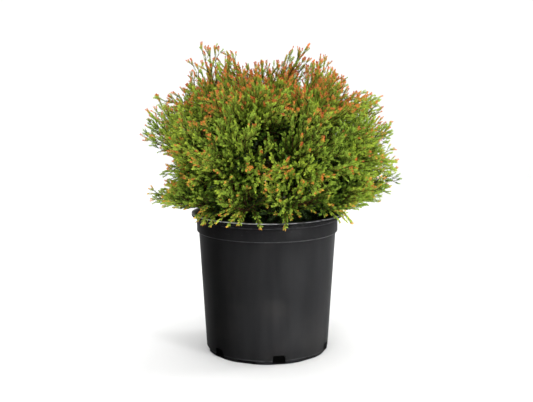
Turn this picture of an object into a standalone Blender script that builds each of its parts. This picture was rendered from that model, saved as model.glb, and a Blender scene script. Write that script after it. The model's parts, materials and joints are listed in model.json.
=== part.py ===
"""Globe arborvitae in a nursery pot.

A filled pot carries a short flared trunk. Boughs leave the trunk in rings, each ring steeper than
the one below, and every bough ends where its mass of foliage begins. The crown is shared out by
direction: a mass owns the directions from the crown's heart that lie nearest to its own axis, so
masses never meet. Metres, +Z up, origin on the pot's flat underside.
"""

import math
import random

import bmesh
import bpy
from mathutils import Matrix, Vector, geometry

# Pot
RIM_DIAMETER = 0.270
POT_HEIGHT = 0.249
COLLAR_DIAMETER = 0.2516
BODY_DIAMETER = 0.2444
BASE_DIAMETER = 0.2192
WALL = 0.0022
FLOOR = 0.0026
LIP_DROP = 0.0046
LIP_THICKNESS = 0.0022
ROUND_OFF = 0.0012
NECK_INSET = 0.0013
NECK_FOOT = 0.2385
COLLAR_FOOT = 0.2160
STEP_HEIGHT = 0.0012
BASE_BAND = 0.0075
BASE_BAND_INSET = 0.0008
BASE_CHAMFER = 0.0024
POT_SIDES = 40
MERGE_DISTANCE = 0.00001

# Drain slots through the foot of the wall, and the shallow arches between them
SLOT_COUNT = 6
SLOT_TURN = math.radians(10.5)
SLOT_WIDTH, SLOT_TOP_WIDTH, SLOT_HEIGHT = 0.023, 0.018, 0.0148
ARCH_WIDTH, ARCH_TOP_WIDTH, ARCH_HEIGHT = 0.046, 0.040, 0.0026
SLOT_DEPTH = 0.012

# Potting mix
SOIL_LEVEL = 0.222
SOIL_FALL = 0.004
SOIL_CROWN_RADIUS = 0.045
GAP = 0.0003

# Trunk
TRUNK_TOP = 0.297
TRUNK_FLARE_RADIUS = 0.0185
TRUNK_RADIUS = 0.0130
TRUNK_TIP_RADIUS = 0.0095
FLARE_HEIGHT = 0.014
TRUNK_LEAN = 0.003
TRUNK_STEPS = 5
TRUNK_BEVEL = 4

# Boughs
BOUGH_ROOT_RADIUS = 0.0036
BOUGH_TIP_RADIUS = 0.0024
BOUGH_STEPS = 5
BOUGH_BEVEL = 1
BOUGH_STAGGER = 0.006
MASS_START = 0.088

# Crown. Each ring: name, number of masses, first azimuth and elevation in degrees, and the height
# at which its boughs leave the trunk. Azimuth 0 is +X, and 270 faces the front.
HEART = Vector((0.0, 0.0, 0.270))
RINGS = (
    ("skirt", 10, 0.0, -2.0, 0.240),
    ("middle", 9, 10.0, 27.0, 0.257),
    ("upper", 5, 36.0, 57.0, 0.277),
)
LEADER_AXIS = Vector((0.0, 0.0, 1.0))
STEEP = 0.9

# How far the crown reaches from its heart, by elevation in degrees
REACH_PROFILE = (
    (-14, 0.202),
    (4, 0.217),
    (28, 0.256),
    (44, 0.278),
    (66, 0.300),
    (78, 0.296),
    (90, 0.270),
)

# Masses that stand proud of that profile or fall short of it
REACH_CHANGES = {
    "skirt_0": 0.010,
    "skirt_7": -0.012,
    "skirt_8": -0.008,
    "middle_0": 0.010,
    "upper_1": 0.006,
    "upper_2": 0.014,
}

# Foliage
SEED = 41
TWIGS = 4
TWIG_SPREAD = math.radians(15)
TWIG_FROM, TWIG_TO = 0.10, 0.24
STEM_RADIUS, TWIG_RADIUS, TWIG_TIP_RADIUS = 0.0024, 0.0022, 0.0014
REACH_SCATTER = 0.045
GOLDEN_ANGLE = math.radians(137.508)
SPRAY_LENGTH, SPRAY_THICKNESS, SPRAY_SUNK = 0.084, 0.0016, 0.014
SPRAY_ROOT_WIDTH = 0.005
SPRAY_TIPS = 3
SPRAY_FAN = math.radians(19)
SPRAY_NOTCH = 0.60
SPRAY_TAPER = 0.20
SPRAY_TWIST = math.radians(55)
SIDE_SPRAY_TURN = math.radians(38)
SIDE_SPRAYS = ((0.90, 1, 0.80), (0.62, -1, 0.84))
SIDE_SPRAY_SUNK = 0.0045
NARROWER, NARROWER_TRIES = 0.80, 4
CORE_FROM, CORE_TO = 0.07, 0.54
CORE_WIDTH = 0.042
CORE_ROUGHNESS = 0.16
CORE_DRAW_IN = 0.94
CELL_MARGIN = 0.0008
CORE_MARGIN = 0.0030
LIMB_MARGIN = 0.0012
POT_MARGIN = 0.0035
LOWEST_TIP = 0.236


def clear_scene():
    for obj in list(bpy.data.objects):
        bpy.data.objects.remove(obj)


def new_collection(name):
    made = bpy.data.collections.new(name)
    bpy.context.scene.collection.children.link(made)
    return made


def make_material(name, colour, roughness):
    material = bpy.data.materials.new(name)
    material.use_nodes = True
    shader = material.node_tree.nodes["Principled BSDF"]
    shader.inputs["Base Color"].default_value = (*colour, 1.0)
    shader.inputs["Roughness"].default_value = roughness
    shader.inputs["Metallic"].default_value = 0.0
    return material


def add_object(name, data, collection, material=None):
    obj = bpy.data.objects.new(name, data)
    collection.objects.link(obj)
    if material:
        data.materials.clear()
        data.materials.append(material)
    return obj


def mesh_from(bm, name):
    mesh = bpy.data.meshes.new(name)
    bm.to_mesh(mesh)
    bm.free()
    return mesh


def turned(name, profile, collection, material):
    """A profile in the XZ plane, swept about Z."""
    mesh = bpy.data.meshes.new(name)
    points = [(radius, 0.0, height) for radius, height in profile]
    mesh.from_pydata(points, [(i, i + 1) for i in range(len(points) - 1)], [])
    obj = add_object(name, mesh, collection, material)
    screw = obj.modifiers.new("turn", "SCREW")
    screw.steps = screw.render_steps = POT_SIDES
    screw.use_merge_vertices = True
    screw.merge_threshold = MERGE_DISTANCE
    screw.use_smooth_shade = True
    return obj


def wall_radius(height):
    """Outer radius of the pot's tapered body at a height."""
    share = height / COLLAR_FOOT
    return (BASE_DIAMETER + (BODY_DIAMETER - BASE_DIAMETER) * share) / 2


def inner_radius(height):
    return wall_radius(height) - WALL


def pot_profile():
    """From the middle of the floor, up the inside, over the lip and down the outside."""
    rim = RIM_DIAMETER / 2
    collar = COLLAR_DIAMETER / 2
    neck = collar - NECK_INSET
    band = wall_radius(BASE_BAND) - BASE_BAND_INSET
    lip_foot = POT_HEIGHT - LIP_DROP
    return [
        (0.0, FLOOR),
        (inner_radius(FLOOR), FLOOR),
        (inner_radius(COLLAR_FOOT), COLLAR_FOOT),
        (collar - WALL, COLLAR_FOOT + 3 * STEP_HEIGHT),
        (neck - WALL, POT_HEIGHT - ROUND_OFF),
        (neck - WALL + ROUND_OFF, POT_HEIGHT),
        (rim - ROUND_OFF, POT_HEIGHT),
        (rim, POT_HEIGHT - ROUND_OFF),
        (rim, lip_foot),
        (rim - LIP_THICKNESS, lip_foot),
        (rim - LIP_THICKNESS, POT_HEIGHT - LIP_THICKNESS),
        (neck, POT_HEIGHT - LIP_THICKNESS - STEP_HEIGHT),
        (neck, NECK_FOOT),
        (collar, NECK_FOOT - STEP_HEIGHT),
        (collar, COLLAR_FOOT + STEP_HEIGHT),
        (wall_radius(COLLAR_FOOT), COLLAR_FOOT - STEP_HEIGHT),
        (wall_radius(BASE_BAND), BASE_BAND),
        (band, BASE_BAND - STEP_HEIGHT),
        (band, BASE_CHAMFER),
        (band - BASE_CHAMFER, 0.0),
        (0.0, 0.0),
    ]


def foot_cutter(name, low_width, high_width, top, turn, collection):
    """A block with a narrower top, standing across the foot of the wall at a turn from the front."""
    outer = BASE_DIAMETER / 2 + SLOT_DEPTH
    inner = BASE_DIAMETER / 2 - SLOT_DEPTH
    bm = bmesh.new()
    bmesh.ops.create_cube(bm, size=1.0)
    for vert in bm.verts:
        upper = vert.co.z > 0
        vert.co.x *= high_width if upper else low_width
        vert.co.y = -inner if vert.co.y > 0 else -outer
        vert.co.z = top if upper else -top
    obj = add_object(name, mesh_from(bm, name), collection)
    obj.rotation_euler.z = turn
    obj.hide_render = True
    obj.display_type = "WIRE"


def make_pot(parts, cutters, material):
    pot = turned("pot", pot_profile(), parts, material)
    pitch = math.tau / SLOT_COUNT
    for i in range(SLOT_COUNT):
        slot = SLOT_TURN + i * pitch
        arch = slot + pitch / 2
        foot_cutter(f"slot_{i}", SLOT_WIDTH, SLOT_TOP_WIDTH, SLOT_HEIGHT, slot, cutters)
        foot_cutter(f"arch_{i}", ARCH_WIDTH, ARCH_TOP_WIDTH, ARCH_HEIGHT, arch, cutters)
    cut = pot.modifiers.new("drain_slots", "BOOLEAN")
    cut.operation = "DIFFERENCE"
    cut.operand_type = "COLLECTION"
    cut.collection = cutters


def make_potting_mix(parts, material):
    """A plug that fills the pot, highest round the trunk and falling a little towards the wall."""
    low = FLOOR + GAP
    bend = COLLAR_FOOT - GAP
    profile = [
        (0.0, SOIL_LEVEL),
        (SOIL_CROWN_RADIUS, SOIL_LEVEL),
        (inner_radius(bend) - 2 * GAP, SOIL_LEVEL - SOIL_FALL),
        (inner_radius(bend) - 2 * GAP, bend),
        (inner_radius(low) - 2 * GAP, low),
        (0.0, low),
    ]
    turned("potting_mix", profile, parts, material)


def trunk_centre(height):
    """The trunk stands upright through its flare, then leans a little towards +X."""
    foot = SOIL_LEVEL + FLARE_HEIGHT
    share = max(0.0, (height - foot) / (TRUNK_TOP - foot))
    return Vector((TRUNK_LEAN * share, 0.0, height))


def trunk_radius(height):
    rise = height - SOIL_LEVEL
    if rise < FLARE_HEIGHT:
        flare = (1 - rise / FLARE_HEIGHT) ** 2
        return TRUNK_RADIUS + (TRUNK_FLARE_RADIUS - TRUNK_RADIUS) * flare
    share = (rise - FLARE_HEIGHT) / (TRUNK_TOP - SOIL_LEVEL - FLARE_HEIGHT)
    return TRUNK_RADIUS + (TRUNK_TIP_RADIUS - TRUNK_RADIUS) * share


def limb_curve(name, spline_type, bevel_resolution):
    curve = bpy.data.curves.new(name, "CURVE")
    curve.dimensions = "3D"
    curve.bevel_depth = 1.0
    curve.bevel_resolution = bevel_resolution
    curve.use_fill_caps = True
    return curve, curve.splines.new(spline_type)


def make_trunk(parts, material):
    foot = SOIL_LEVEL + GAP
    heights = [foot, foot + FLARE_HEIGHT / 2, SOIL_LEVEL + FLARE_HEIGHT]
    rise = (TRUNK_TOP - heights[-1]) / TRUNK_STEPS
    heights += [heights[-1] + rise * (i + 1) for i in range(TRUNK_STEPS)]
    curve, spline = limb_curve("trunk", "POLY", TRUNK_BEVEL)
    spline.points.add(len(heights) - 1)
    for point, height in zip(spline.points, heights):
        point.co = (*trunk_centre(height), 1.0)
        point.radius = trunk_radius(height)
    add_object("trunk", curve, parts, material)
    centres = [trunk_centre(h) for h in heights]
    return [(a, b, TRUNK_FLARE_RADIUS) for a, b in zip(centres, centres[1:])]


def make_bough(name, axis, fork, parts, material):
    """One tapering limb, square to the trunk where it leaves it and in line with its mass's axis."""
    if axis == LEADER_AXIS:
        start = trunk_centre(TRUNK_TOP) + LEADER_AXIS * GAP
        away = LEADER_AXIS
    else:
        away = Vector((axis.x, axis.y, 0.0)).normalized()
        start = trunk_centre(fork) + away * (trunk_radius(fork) + GAP)
    end = HEART + axis * MASS_START
    pull = (end - start).length / 3
    curve, spline = limb_curve(name, "BEZIER", BOUGH_BEVEL)
    curve.resolution_u = BOUGH_STEPS
    spline.bezier_points.add(1)
    root, tip = spline.bezier_points
    for point, co, way, radius in (
        (root, start, away, BOUGH_ROOT_RADIUS),
        (tip, end, axis, BOUGH_TIP_RADIUS),
    ):
        point.co = co
        point.handle_left = co - way * pull
        point.handle_right = co + way * pull
        point.radius = radius
    add_object(name, curve, parts, material)
    points = geometry.interpolate_bezier(
        start, root.handle_right, tip.handle_left, end, BOUGH_STEPS + 1
    )
    return [(a, b, BOUGH_ROOT_RADIUS) for a, b in zip(points, points[1:])]


def crown_plan():
    """Name, axis and fork height of every mass, ring by ring from the lowest."""
    plan = []
    for ring, count, first, elevation, fork in RINGS:
        for i in range(count):
            azimuth = math.radians(first + 360 * i / count)
            level = math.radians(elevation)
            flat = math.cos(level)
            axis = Vector((flat * math.cos(azimuth), flat * math.sin(azimuth), math.sin(level)))
            plan.append((f"{ring}_{i}", axis, fork + BOUGH_STAGGER * (i % 2)))
    plan.append(("leader", LEADER_AXIS, TRUNK_TOP))
    return plan


def crown_reach(way):
    """The crown's reach from its heart along a way, read from the profile."""
    elevation = math.degrees(math.asin(max(-1.0, min(1.0, way.z))))
    lower = REACH_PROFILE[0]
    for upper in REACH_PROFILE[1:]:
        if elevation <= upper[0]:
            share = max(0.0, (elevation - lower[0]) / (upper[0] - lower[0]))
            return lower[1] + (upper[1] - lower[1]) * share
        lower = upper
    return lower[1]


class Space:
    """The room that one mass keeps to."""

    def __init__(self, name, axis, axes, limbs):
        self.axis = axis
        self.change = REACH_CHANGES.get(name, 0.0)
        self.borders = [(axis - other).normalized() for other in axes if other != axis]
        self.limbs = limbs

    def reach(self, way):
        return crown_reach(way) + self.change

    def on_axis(self, share):
        """A point on the mass's axis, from its bough's tip at 0 to the crown's reach at 1."""
        return HEART + self.axis * (MASS_START + (self.reach(self.axis) - MASS_START) * share)

    def holds(self, point, margin):
        """Whether a point lies inside the mass's borders and the crown's reach."""
        out = point - HEART
        inside = all(out.dot(border) > margin for border in self.borders)
        return inside and out.length < self.reach(out.normalized()) + CELL_MARGIN

    def is_free(self, point):
        """Whether a point is clear of the limbs, the pot's rim and the potting mix."""
        radius = math.hypot(point.x, point.y)
        if point.z < LOWEST_TIP:
            return False
        if point.z < POT_HEIGHT + POT_MARGIN and radius < RIM_DIAMETER / 2 + POT_MARGIN:
            return False
        for start, end, limb_radius in self.limbs:
            near, share = geometry.intersect_point_line(point, start, end)
            if share < 0.0:
                near = start
            if share > 1.0:
                near = end
            if (point - near).length < limb_radius + LIMB_MARGIN:
                return False
        return True


def spray_outline():
    """A fan of shoot tips: narrow at its root, then tip and notch by turns, as angle and distance."""
    half = SPRAY_ROOT_WIDTH / 2
    outline = [(0.0, -half)]
    steps = 2 * SPRAY_TIPS - 1
    for i in range(steps):
        across = 2 * i / (steps - 1) - 1
        angle = SPRAY_FAN * across
        distance = SPRAY_LENGTH * (1 - SPRAY_TAPER * across * across)
        if i % 2:
            distance *= SPRAY_NOTCH
        outline.append((distance * math.cos(angle), distance * math.sin(angle)))
    return outline + [(0.0, half)]


def make_spray_mesh():
    """A flat outline, filled and thickened, and made a mesh. It lies along +X with its face to +Z."""
    curve = bpy.data.curves.new("spray", "CURVE")
    curve.dimensions = "2D"
    curve.fill_mode = "BOTH"
    curve.extrude = SPRAY_THICKNESS / 2
    outline = spray_outline()
    spline = curve.splines.new("POLY")
    spline.points.add(len(outline) - 1)
    for point, (x, y) in zip(spline.points, outline):
        point.co = (x, y, 0.0, 1.0)
    spline.use_cyclic_u = True
    obj = add_object("spray", curve, bpy.context.scene.collection)
    depsgraph = bpy.context.evaluated_depsgraph_get()
    mesh = bpy.data.meshes.new_from_object(obj.evaluated_get(depsgraph))
    bpy.data.objects.remove(obj)
    bm = bmesh.new()
    bm.from_mesh(mesh)
    bmesh.ops.remove_doubles(bm, verts=bm.verts, dist=MERGE_DISTANCE)
    bmesh.ops.recalc_face_normals(bm, faces=bm.faces)
    bm.to_mesh(mesh)
    bm.free()
    return mesh


def along(start, way, flat):
    """A placement whose X runs along a way and whose Y lies as near as it can to a second one."""
    side = (flat - way * flat.dot(way)).normalized()
    turn = Matrix((way, side, way.cross(side))).transposed()
    return Matrix.Translation(start) @ turn.to_4x4()


def add_twig(start, end, start_radius, end_radius, collection):
    """A three-sided tapering twig."""
    length = (end - start).length
    bm = bmesh.new()
    bmesh.ops.create_cone(
        bm, cap_ends=True, segments=3, radius1=start_radius, radius2=end_radius, depth=length
    )
    turn = LEADER_AXIS.rotation_difference(end - start).to_matrix().to_4x4()
    bm.transform(Matrix.Translation((start + end) / 2) @ turn)
    add_object("twig", mesh_from(bm, "twig"), collection)


def spray_flat(way, rng):
    """The way in which a spray is broad: upright by nature, then twisted about its own length."""
    guide = LEADER_AXIS if abs(way.z) < STEEP else Vector((1.0, 0.0, 0.0))
    side = way.cross(guide).normalized()
    upright = side.cross(way)
    twist = rng.uniform(-SPRAY_TWIST, SPRAY_TWIST)
    return upright * math.cos(twist) + side * math.sin(twist)


def add_spray(root, way, flat, size, space, mesh, collection):
    """Adds a spray, made narrower until its space holds it, or leaves it out."""
    width = size
    for _ in range(NARROWER_TRIES):
        place = along(root, way, flat) @ Matrix.Diagonal((size, width, 1.0, 1.0))
        corners = [place @ vert.co for vert in mesh.vertices]
        samples = corners + [(root + corner) / 2 for corner in corners]
        samples += [(a + b) / 2 for a, b in zip(corners, corners[1:])]
        if all(space.holds(p, CELL_MARGIN) and space.is_free(p) for p in samples):
            add_object("spray", mesh, collection).matrix_world = place
            return
        width *= NARROWER


def make_core(name, space, rng, material):
    """A rough ball round the mass's axis, drawn in wherever it would leave the mass's space."""
    middle = space.on_axis((CORE_FROM + CORE_TO) / 2)
    half = (space.on_axis(CORE_TO) - middle).length
    place = along(middle, space.axis, spray_flat(space.axis, rng))
    bm = bmesh.new()
    bmesh.ops.create_icosphere(bm, subdivisions=2, radius=1.0)
    for vert in bm.verts:
        rough = 1 + rng.uniform(-CORE_ROUGHNESS, CORE_ROUGHNESS)
        offset = Vector((vert.co.x * half, vert.co.y * CORE_WIDTH, vert.co.z * CORE_WIDTH)) * rough
        while not core_fits(place @ offset, space) and offset.length > CORE_MARGIN:
            offset = offset * CORE_DRAW_IN
        vert.co = place @ offset
    mesh = mesh_from(bm, name)
    mesh.materials.append(material)
    return mesh


def core_fits(point, space):
    above_rim = point.z > POT_HEIGHT + POT_MARGIN
    return above_rim and space.holds(point, CORE_MARGIN) and space.is_free(point)


def twig_ways(space, rng):
    """The ways of a mass's shoot tips: one on its axis and the rest round it by the golden angle."""
    side = space.axis.orthogonal().normalized()
    first = rng.uniform(0.0, math.tau)
    ways = [space.axis.copy()]
    for i in range(TWIGS):
        spread = TWIG_SPREAD * rng.uniform(0.85, 1.05)
        tilt = Matrix.Rotation(spread, 3, side)
        turn = Matrix.Rotation(first + i * GOLDEN_ANGLE, 3, space.axis)
        ways.append(turn @ (tilt @ space.axis))
    return ways


def grow_mass(space, mesh, twigs, rng):
    """Stem, twigs and sprays of one mass, gathered in a collection round its core."""
    stem_start = space.on_axis(0.0) + space.axis * GAP
    add_twig(stem_start, space.on_axis(TWIG_TO), STEM_RADIUS, TWIG_RADIUS, twigs)
    for i, way in enumerate(twig_ways(space, rng)):
        start = space.on_axis(rng.uniform(TWIG_FROM, TWIG_TO))
        scatter = REACH_SCATTER * rng.random() if i else 0.0
        tip = HEART + way * space.reach(way) * (1 - scatter)
        ahead = (tip - start).normalized()
        end = tip - ahead * (SPRAY_LENGTH - SPRAY_SUNK)
        if not (space.holds(end, CELL_MARGIN) and space.is_free(end)):
            continue
        add_twig(start, end, TWIG_RADIUS, TWIG_TIP_RADIUS, twigs)
        flat = spray_flat(ahead, rng)
        add_spray(end - ahead * SPRAY_SUNK, ahead, flat, 1.0, space, mesh, twigs)
        for share, hand, size in SIDE_SPRAYS if i else ():
            turn = SIDE_SPRAY_TURN * hand
            side_way = ahead * math.cos(turn) + flat * math.sin(turn)
            side_flat = flat * math.cos(turn) - ahead * math.sin(turn)
            side_root = start.lerp(end, share) - side_way * SIDE_SPRAY_SUNK
            add_spray(side_root, side_way, side_flat, size, space, mesh, twigs)


def largest_shell(mesh):
    """Keeps the outer skin of a fused mass, which fills any sealed hollow and drops loose scraps."""
    bm = bmesh.new()
    bm.from_mesh(mesh)
    left = set(bm.faces)
    shells = []
    while left:
        shell = [left.pop()]
        for face in shell:
            sound = [edge for edge in face.edges if len(edge.link_faces) == 2]
            near = {other for edge in sound for other in edge.link_faces} & left
            left -= near
            shell += near
        shells.append(shell)
    shells.sort(key=len)
    for shell in shells[:-1]:
        bmesh.ops.delete(bm, geom=shell, context="FACES")
    bm.to_mesh(mesh)
    bm.free()


def make_mass(index, name, space, spray_mesh, parts, material):
    rng = random.Random(SEED + index)
    core = add_object(f"{name}_core", make_core(name, space, rng, material), parts)
    twigs = new_collection(f"{name}_twigs")
    grow_mass(space, spray_mesh, twigs, rng)
    join = core.modifiers.new("fuse", "BOOLEAN")
    join.operation = "UNION"
    join.operand_type = "COLLECTION"
    join.collection = twigs
    join.solver = "EXACT"
    depsgraph = bpy.context.evaluated_depsgraph_get()
    fused = bpy.data.meshes.new_from_object(core.evaluated_get(depsgraph))
    bpy.data.objects.remove(core)
    for obj in list(twigs.objects):
        bpy.data.objects.remove(obj)
    bpy.data.collections.remove(twigs)
    largest_shell(fused)
    add_object(f"foliage_{name}", fused, parts, material)


def main():
    clear_scene()
    parts = new_collection("potted_arborvitae")
    cutters = new_collection("cutters")
    plastic = make_material("pot_plastic", (0.027, 0.027, 0.028), 0.42)
    mix = make_material("potting_mix", (0.035, 0.022, 0.014), 0.95)
    bark = make_material("bark", (0.16, 0.085, 0.045), 0.85)
    foliage = make_material("foliage", (0.16, 0.26, 0.04), 0.6)

    make_pot(parts, cutters, plastic)
    make_potting_mix(parts, mix)
    limbs = make_trunk(parts, bark)
    plan = crown_plan()
    for name, axis, fork in plan:
        limbs += make_bough(f"bough_{name}", axis, fork, parts, bark)
    axes = [axis for _, axis, _ in plan]
    spray_mesh = make_spray_mesh()
    for index, (name, axis, _) in enumerate(plan):
        make_mass(index, name, Space(name, axis, axes, limbs), spray_mesh, parts, foliage)


main()
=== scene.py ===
"""Dressing for a globe arborvitae in a nursery pot: blow-moulded plastic, potting mix, bark and foliage.

The crown grows by one rule. Every mass of foliage owns the directions from the crown's heart that lie
nearest to its own axis. Its stem carries on from its bough, twigs fan out from the stem, flat sprays
stand along each twig, and leafy shoots stand along each spray. Metres, +Z up, front towards -Y.
"""

import json
import math
import random

import bmesh
import bpy
import numpy as np
from mathutils import Matrix, Vector, geometry, noise

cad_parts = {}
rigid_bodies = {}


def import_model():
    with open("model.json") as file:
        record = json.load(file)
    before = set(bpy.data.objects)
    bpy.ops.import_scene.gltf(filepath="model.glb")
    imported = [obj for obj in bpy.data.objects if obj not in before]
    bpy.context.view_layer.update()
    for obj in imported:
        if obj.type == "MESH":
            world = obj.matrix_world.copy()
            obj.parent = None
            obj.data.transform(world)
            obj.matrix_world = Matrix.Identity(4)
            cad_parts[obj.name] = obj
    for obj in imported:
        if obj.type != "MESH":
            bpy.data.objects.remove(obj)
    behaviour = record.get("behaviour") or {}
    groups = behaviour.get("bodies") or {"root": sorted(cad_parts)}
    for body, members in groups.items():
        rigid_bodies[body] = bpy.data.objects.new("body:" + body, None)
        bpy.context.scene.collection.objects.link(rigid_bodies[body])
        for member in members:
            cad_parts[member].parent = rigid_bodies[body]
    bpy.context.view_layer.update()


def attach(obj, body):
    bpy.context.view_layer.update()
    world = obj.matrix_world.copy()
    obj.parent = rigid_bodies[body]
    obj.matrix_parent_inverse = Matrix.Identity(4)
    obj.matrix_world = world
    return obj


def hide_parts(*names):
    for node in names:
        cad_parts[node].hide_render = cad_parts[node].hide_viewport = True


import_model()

UP = Vector((0.0, 0.0, 1.0))

# Camera, fitted to the pot's ellipses in the photograph
CAMERA_PLACE = (-0.00135, -1.5147, 0.4880)
CAMERA_DIP = math.radians(8.277)
LENS_MM = 57.83

# Pot, the same sizes as the solid but for the notches at its foot
RIM_RADIUS = 0.135
POT_HEIGHT = 0.249
COLLAR_RADIUS = 0.1258
BODY_RADIUS = 0.1222
BASE_RADIUS = 0.1096
WALL = 0.0022
FLOOR = 0.0026
LIP_DROP = 0.0046
NECK_INSET = 0.0013
NECK_FOOT = 0.2385
COLLAR_FOOT = 0.2160
STEP = 0.0012
BASE_BAND = 0.0075
BASE_INSET = 0.0008
BASE_CHAMFER = 0.0024
POT_STEPS = 192
SLOT_COUNT = 6
SLOT_TURN = math.radians(10.5)

# Notches at the pot's foot, read from the photograph: width at the floor and at the top, height, depth,
# and how far their cutters stand out of the wall
SLOT = (0.0256, 0.0195, 0.0172, 0.0034)
ARCH = (0.0370, 0.0340, 0.0062, 0.0042)
CUTTER_OUTSIDE = 0.012

# Potting mix
SOIL_LEVEL = 0.222
SOIL_FALL = 0.004
SOIL_FLAT = 0.045
SOIL_RINGS = 26
GAP = 0.0003
SOIL_EDGE = BODY_RADIUS - WALL - 3 * GAP
CHIPS = 2600
CHIP_LENGTHS = (0.0016, 0.0058)
PERLITE = 150
PERLITE_LENGTHS = (0.0012, 0.0022)

# Trunk and boughs, the same as the solids
TRUNK_TOP = 0.297
TRUNK_FLARE_RADIUS = 0.0185
TRUNK_RADIUS = 0.0130
TRUNK_TIP_RADIUS = 0.0095
FLARE_HEIGHT = 0.014
TRUNK_LEAN = 0.003
BOUGH_ROOT_RADIUS = 0.0036
BOUGH_TIP_RADIUS = 0.0024
BOUGH_STAGGER = 0.006
BOUGH_STEPS = 12
TRUNK_STEPS = 24
MASS_START = 0.088

# Crown: ring, masses, first azimuth, elevation, fork height, how far its shoots turn upwards, and the
# angle between its twigs
HEART = Vector((0.0, 0.0, 0.270))
RINGS = (
    ("skirt", 10, 0.0, -2.0, 0.240, -0.05, 5.6),
    ("middle", 9, 10.0, 27.0, 0.257, 0.22, 4.8),
    ("upper", 5, 36.0, 57.0, 0.277, 0.30, 4.4),
)
LEADER_LIFT = 0.3
LEADER_PITCH = 4.5

# How far the crown reaches from its heart, by elevation, and how much more or less in single masses
REACH_PROFILE = (
    (-14, 0.198), (2, 0.210), (13, 0.236), (28, 0.256), (44, 0.272), (54, 0.262), (62, 0.264),
    (70, 0.266), (78, 0.258), (90, 0.246),
)
REACH_CHANGES = {
    "skirt_7": -0.012,
    "skirt_8": -0.008,
    "middle_0": 0.004,
    "upper_1": 0.006,
    "upper_2": 0.010,
}

# The seed of every draw, and how twigs fan out from a mass's stem and how far they may go
SEED = 73
GOLDEN_ANGLE = math.radians(137.508)
WIDEST_TWIG = math.radians(38)
TWIG_SHARES = (0.02, 0.20)
TWIG_STEPS = 8
BORDER_OVERLAP = 0.017
SHARED_BORDER = 0.025
SHY_OF_REACH = (0.78, 0.975)

# Sprays along a twig, and shoots along a spray
SPRAYS = 8
SPRAY_SHARES = (0.24, 0.96)
SPRAY_LENGTHS = (0.068, 0.036)
SPRAY_TURN = math.radians(27)
SPRAY_BEND = 0.4
SHOOT_STEP = 0.0082
SHOOT_TURN = math.radians(27)
SIDE_LENGTHS = (0.025, 0.0100)
LEAST_SHOOT = 0.0062
SLEEVE_LENGTH = 0.012
TIP_LENGTH = 0.013
SHORTER = (1.0, 0.8, 0.62)

# Older, coarser sprays inside the crown in painted shade, some of them dry in its upper part
INNER_SPRAYS = 38
INNER_PER_TWIG = 3
INNER_STEP = 0.016
INNER_SHARES = (-0.05, 0.40)
INNER_TURNS = (math.radians(30), math.radians(100))
INNER_LENGTHS = (0.032, 0.064)
INNER_DEPTH = 0.80
DRY_PATCHES = 24
DRY_ABOVE = 0.288

# The crown's lower edge, which rises from the pot's lip outwards, most of all in front
LOWEST_LEVEL = -13
LOW_EDGE = 0.253
LOW_EDGE_RADIUS = 0.13
LOW_SLOPE = 0.05
FRONT_RISE = 0.012
FRONT_SLOPE = 0.22
RAGGED = 0.030

# How low shoots may hang outside the lip, and the sprays in painted shade that lie inside it
HANG_RADIUS = 0.1385
HANG_LOWEST = 0.226
HANG_STEPS = 8
LOW_SPRAYS = 30
LOW_TURN = math.radians(20)
LOW_RADII = (0.050, 0.117)
LOW_HEIGHTS = (0.230, 0.258)

# Thickness of the wood, from a mass's stem to its shoots, and the two sorts of it
STEM_RADIUS = 0.0024
TWIG_RADIUS = 0.0017
HANGING_RADIUS = 0.0012
OLD_RADIUS = 0.0010
SPRAY_RADIUS = 0.0009
SHOOT_RADIUS = 0.0005
BROWN, YOUNG = 0, 1

# Autumn tints: the elevations between which they set in, their share below and above, and how far out
WARM_FROM = 32
WARM_TO = 60
WARM_SHARES = (0.26, 0.80)
WARM_DEPTH = 0.84

# How far out the painted shade of the leaves reaches, by elevation
SHADED_DEPTHS = ((-10, 0.86), (12, 0.84), (26, 0.79), (45, 0.74), (90, 0.72))

# Hollows in the crown's outline: azimuth, elevation, half width in degrees, depth
DENTS = (
    (180, 20.0, 18.0, 0.083), (158, 20.0, 17.0, 0.070), (202, 20.0, 17.0, 0.070),
    (132, 19.0, 12.0, 0.024), (180, 52.0, 13.0, 0.022), (0, 21.0, 9.0, 0.026),
    (0, 52.0, 13.0, 0.016), (0, 4.0, 13.0, 0.030), (20, 3.0, 12.0, 0.020), (340, 3.0, 12.0, 0.020),
    (270, 70.0, 18.0, 0.012), (90, 70.0, 18.0, 0.012), (48, 20.0, 12.0, 0.030),
    (100, 34.0, 11.0, 0.026), (225, 50.0, 10.0, 0.020), (306, 46.0, 9.0, 0.018),
)

# Dark pockets within the crown, given in the same way
POCKETS = (
    (257, 25.0, 9.0, 0.060), (279, 31.0, 10.0, 0.050), (296, 19.0, 7.0, 0.038),
    (262, 3.0, 10.0, 0.075), (280, 1.0, 8.0, 0.050), (292, 2.0, 8.0, 0.050),
    (224, 11.0, 8.0, 0.045), (240, 13.0, 8.0, 0.045), (310, 8.0, 8.0, 0.045),
    (60, 12.0, 8.0, 0.045), (68, 38.0, 8.0, 0.050), (125, 8.0, 8.0, 0.045), (150, 36.0, 7.0, 0.040),
    (30, 30.0, 8.0, 0.045), (200, 4.0, 7.0, 0.040),
)

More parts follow.
